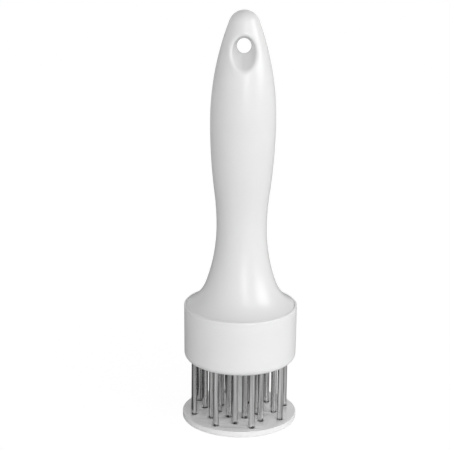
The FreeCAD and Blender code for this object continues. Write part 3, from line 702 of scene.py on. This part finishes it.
def open_mouth(side):
    """Cut a patch out of the skin and draw its edge in, loop by loop, down to the throat."""
    work_on(grip)
    pick(grip, "faces", lambda face: in_mouth_patch(face, side))
    bpy.ops.mesh.delete(type="FACE")
    pick(grip, "edges", lambda edge: edge.is_boundary and edge.verts[0].co.y * side < -MOUTH_SIDE)
    mesh = bmesh.from_edit_mesh(grip.data)
    edge_number = mesh.verts.layers.int.new("edge_number")
    sections = []
    for vert in mesh.verts:
        if vert.select:
            across = vert.co.x / MOUTH_HALF_WIDTH
            up = (vert.co.z - HOLE_HEIGHT + MOUTH_DROP) / MOUTH_HALF_HEIGHT
            vert[edge_number] = len(sections)
            sections.append(mouth_section(math.atan2(up, across), vert.co))
    bmesh.update_edit_mesh(grip.data)
    for loop in range(SKIN_LOOPS + ROUND_LOOPS + FLARE_LOOPS):
        bpy.ops.mesh.extrude_edges_move(TRANSFORM_OT_translate={"value": (0, 0, 0)})
        mesh = bmesh.from_edit_mesh(grip.data)
        edge_number = mesh.verts.layers.int["edge_number"]
        for vert in mesh.verts:
            if vert.select:
                point = sections[vert[edge_number]][loop]
                vert.co = (point.x, -point.y * side, point.z)
        bmesh.update_edit_mesh(grip.data)
    mesh = bmesh.from_edit_mesh(grip.data)
    mesh.verts.layers.int.remove(mesh.verts.layers.int["edge_number"])
    bpy.ops.object.mode_set(mode="OBJECT")


open_mouth(1)
open_mouth(-1)
work_on(grip)
pick(grip, "edges", lambda edge: edge.is_boundary)
bpy.ops.mesh.bridge_edge_loops()
bpy.ops.mesh.select_all(action="SELECT")
bpy.ops.mesh.normals_make_consistent(inside=False)
bpy.ops.object.mode_set(mode="OBJECT")
smooth(grip, 40)
grip_white = moulded_white("handle_white", (0.86, 0.86, 0.86), (0.84, 0.84, 0.84), 0.22)
dress(grip, grip_white, "tool", "handle")


# Table. A plain white sheet under the tool and far behind it. Seen straight or in a reflection it
# shows its own white, less the tool's shadow. Reflections of the part close to the tool show only
# the light that falls there. Reflections of its left and back are painted dark, half as white far
# off and near black close by: a painted reflection that draws the blades' dark edges.
NEAR_TABLE = 0.01
FAR_TABLE = 0.6
# The next four set where, and how dark, the table's painted reflection is.
PAINTED_BRIGHT_SIDE = (0.55, -0.83, 0)
PAINTED_BRIGHT_SPAN = (-0.5, 0.4)
PAINTED_DARK_SIDE_SHARE = 0.5
PAINTED_REFLECTION_TONES = (0.05, 0.95)
TABLE_TONE = 0.82
SHOWN_TONE = 0.16
SHOWN_GLOW = 0.93
TABLE_SIZE = 60
TABLE_LEVEL = -0.00005

bpy.ops.object.select_all(action="DESELECT")
bpy.ops.mesh.primitive_plane_add(size=TABLE_SIZE, location=(0, 0, TABLE_LEVEL))
table = bpy.context.object
table.name = table.data.name = "table"
bpy.ops.object.transform_apply(location=True, rotation=True, scale=True)


def from_two(nodes, links, operation, first, second):
    """One value worked out from two others."""
    result = nodes.new("ShaderNodeMath")
    result.operation = operation
    links.new(first, result.inputs[0])
    links.new(second, result.inputs[1])
    return result.outputs["Value"]


def seen_or_reflected(nodes, links):
    """One where the camera, a reflection or a see-through part looks, and nought elsewhere."""
    path = nodes.new("ShaderNodeLightPath")
    amount = path.outputs["Is Camera Ray"]
    for ray in ("Is Glossy Ray", "Is Transmission Ray"):
        amount = from_two(nodes, links, "MAXIMUM", amount, path.outputs[ray])
    return amount


def from_afar(nodes, links, amount):
    """The same amount, but less and less of it for a ray that starts close to the table."""
    length = nodes.new("ShaderNodeLightPath").outputs["Ray Length"]
    far = spread(nodes, links, length, (NEAR_TABLE, FAR_TABLE))
    return from_two(nodes, links, "MULTIPLY", amount, far)


def painted_reflection_side(nodes, links):
    """Painted reflection share: one in front and to the right of the tool, and half as much to its left
    and behind it, where reflections of the table are painted dark.
    """
    way = nodes.new("ShaderNodeVectorMath")
    way.operation = "NORMALIZE"
    links.new(nodes.new("ShaderNodeTexCoord").outputs["Object"], way.inputs[0])
    facing = nodes.new("ShaderNodeVectorMath")
    facing.operation = "DOT_PRODUCT"
    facing.inputs[1].default_value = PAINTED_BRIGHT_SIDE
    links.new(way.outputs["Vector"], facing.inputs[0])
    return spread(nodes, links, facing.outputs["Value"], PAINTED_BRIGHT_SPAN, (PAINTED_DARK_SIDE_SHARE, 1))


table_white = bpy.data.materials.new("table_white")
table_white.use_nodes = True
nodes, links = table_white.node_tree.nodes, table_white.node_tree.links
nodes.remove(nodes["Principled BSDF"])
paper = nodes.new("ShaderNodeBsdfDiffuse")
path = nodes.new("ShaderNodeLightPath")
painted_reflection_share = painted_reflection_side(nodes, links)
# Reflections see the paper painted near black to the left and behind the tool, and near white in front and
# to the right: painted reflection.
painted_reflection_tone = spread(nodes, links, painted_reflection_share, (PAINTED_DARK_SIDE_SHARE, 1), PAINTED_REFLECTION_TONES)
paper_tone_and_painted_reflection = nodes.new("ShaderNodeMix")
paper_tone_and_painted_reflection.inputs["A"].default_value = TABLE_TONE
links.new(path.outputs["Is Glossy Ray"], paper_tone_and_painted_reflection.inputs["Factor"])
links.new(painted_reflection_tone, paper_tone_and_painted_reflection.inputs["B"])
links.new(paper_tone_and_painted_reflection.outputs["Result"], paper.inputs["Color"])
shown_paper = nodes.new("ShaderNodeBsdfDiffuse")
shown_paper.inputs["Color"].default_value = (SHOWN_TONE, SHOWN_TONE, SHOWN_TONE, 1)
glow = nodes.new("ShaderNodeEmission")
glow.inputs["Color"].default_value = (1, 1, 1, 1)
glow.inputs["Strength"].default_value = SHOWN_GLOW
shown = nodes.new("ShaderNodeAddShader")
links.new(shown_paper.outputs["BSDF"], shown.inputs[0])
links.new(glow.outputs["Emission"], shown.inputs[1])
choice = nodes.new("ShaderNodeMixShader")
# Reflections of the table's left and back get only half its white: painted reflection.
seen_or_painted_bright = from_two(nodes, links, "MAXIMUM", path.outputs["Is Camera Ray"], painted_reflection_share)
seen_from_afar = from_afar(nodes, links, seen_or_reflected(nodes, links))
white_share = from_two(nodes, links, "MULTIPLY", seen_from_afar, seen_or_painted_bright)
links.new(white_share, choice.inputs["Fac"])
links.new(paper.outputs["BSDF"], choice.inputs[1])
links.new(shown.outputs["Shader"], choice.inputs[2])
links.new(choice.outputs["Shader"], nodes["Material Output"].inputs["Surface"])
table.data.materials.append(table_white)


# Light. Pale walls, brightest in front and to the right and dark towards the ceiling, two windows
# that draw soft lines of gloss on the plastic, and three lamps in front and to the right, of which
# two stand low.
WALL_LIGHT = 1.24
WALL_LEAN = (0.45, -0.55, 0)
WALL_TOP = (0.2, 0.9)
LAMP_DISTANCE = 1.2
LAMP_AIM = 0.09
WINDOW_HEIGHT = 0.8
WINDOW_LIGHT = 3.3

world = bpy.data.worlds.new("studio")
bpy.context.scene.world = world
world.use_nodes = True
nodes, links = world.node_tree.nodes, world.node_tree.links
daylight = nodes["Background"]
daylight.inputs["Color"].default_value = (1, 1, 1, 1)
direction = nodes.new("ShaderNodeTexCoord").outputs["Generated"]
towards_the_light = nodes.new("ShaderNodeVectorMath")
towards_the_light.operation = "DOT_PRODUCT"
towards_the_light.inputs[1].default_value = WALL_LEAN
links.new(direction, towards_the_light.inputs[0])
wall = spread(nodes, links, towards_the_light.outputs["Value"], (-1, 1), (0, 2 * WALL_LIGHT))
height = nodes.new("ShaderNodeSeparateXYZ")
links.new(direction, height.inputs["Vector"])
below_the_ceiling = spread(nodes, links, height.outputs["Z"], WALL_TOP, (1, 0))
strength = from_two(nodes, links, "MULTIPLY", wall, below_the_ceiling)
links.new(strength, daylight.inputs["Strength"])
white = nodes.new("ShaderNodeBackground")
white.inputs["Color"].default_value = (1, 1, 1, 1)
white.inputs["Strength"].default_value = 1
choice = nodes.new("ShaderNodeMixShader")
links.new(seen_or_reflected(nodes, links), choice.inputs["Fac"])
links.new(daylight.outputs["Background"], choice.inputs[1])
links.new(white.outputs["Background"], choice.inputs[2])
links.new(choice.outputs["Shader"], nodes["World Output"].inputs["Surface"])


def area_lamp(name, turn, rise, width, height, radiance):
    """Rectangular lamp round the tool: degrees to the right of the front and above the table."""
    level = LAMP_DISTANCE * math.cos(math.radians(rise))
    place = Vector((level * math.sin(math.radians(turn)), -level * math.cos(math.radians(turn)), LAMP_AIM))
    place.z += LAMP_DISTANCE * math.sin(math.radians(rise))
    aim = Vector((0, 0, LAMP_AIM)) - place
    bpy.ops.object.light_add(type="AREA", location=place, rotation=aim.to_track_quat("-Z", "Y").to_euler())
    lamp = bpy.context.object
    lamp.name = lamp.data.name = name
    lamp.data.shape = "RECTANGLE"
    lamp.data.size = width
    lamp.data.size_y = height
    lamp.data.energy = radiance * math.pi * width * height
    return lamp


area_lamp("low_front_lamp", 10, 8, 0.5, 0.3, 2.5)
area_lamp("low_side_lamp", 60, 10, 0.7, 0.35, 0.8)
area_lamp("high_lamp", 35, 38, 0.5, 0.7, 0.8)
for name, turn, rise, width in (("front_window", 13, 27, 0.2), ("side_window", 74, 24, 0.75)):
    window = area_lamp(name, turn, rise, width, WINDOW_HEIGHT, WINDOW_LIGHT)
    window.visible_diffuse = False


# Camera. A long lens from the front, a little above the tool and tilted down.
CAMERA_PLACE = (-0.00290, -0.79763, 0.34652)
CAMERA_TILT = 0.3067
CAMERA_TURN = -0.0059
CAMERA_ROLL = 0.0108
FOCAL_PIXELS = 1833.1
PICTURE_PIXELS = 450
SENSOR_WIDTH = 36

ahead = Vector((
    math.sin(CAMERA_TURN) * math.cos(CAMERA_TILT),
    math.cos(CAMERA_TURN) * math.cos(CAMERA_TILT),
    -math.sin(CAMERA_TILT),
))
right = Vector((math.cos(CAMERA_TURN), -math.sin(CAMERA_TURN), 0))
up = right.cross(ahead)
roll = Matrix.Rotation(-CAMERA_ROLL, 3, ahead)
axes = Matrix((roll @ right, roll @ up, -ahead)).transposed()
bpy.ops.object.camera_add(location=CAMERA_PLACE, rotation=axes.to_euler())
camera = bpy.context.object
camera.name = camera.data.name = "camera"
camera.data.sensor_width = SENSOR_WIDTH
camera.data.lens = FOCAL_PIXELS * SENSOR_WIDTH / PICTURE_PIXELS
bpy.context.scene.camera = camera
bpy.context.scene.view_settings.view_transform = "Standard"
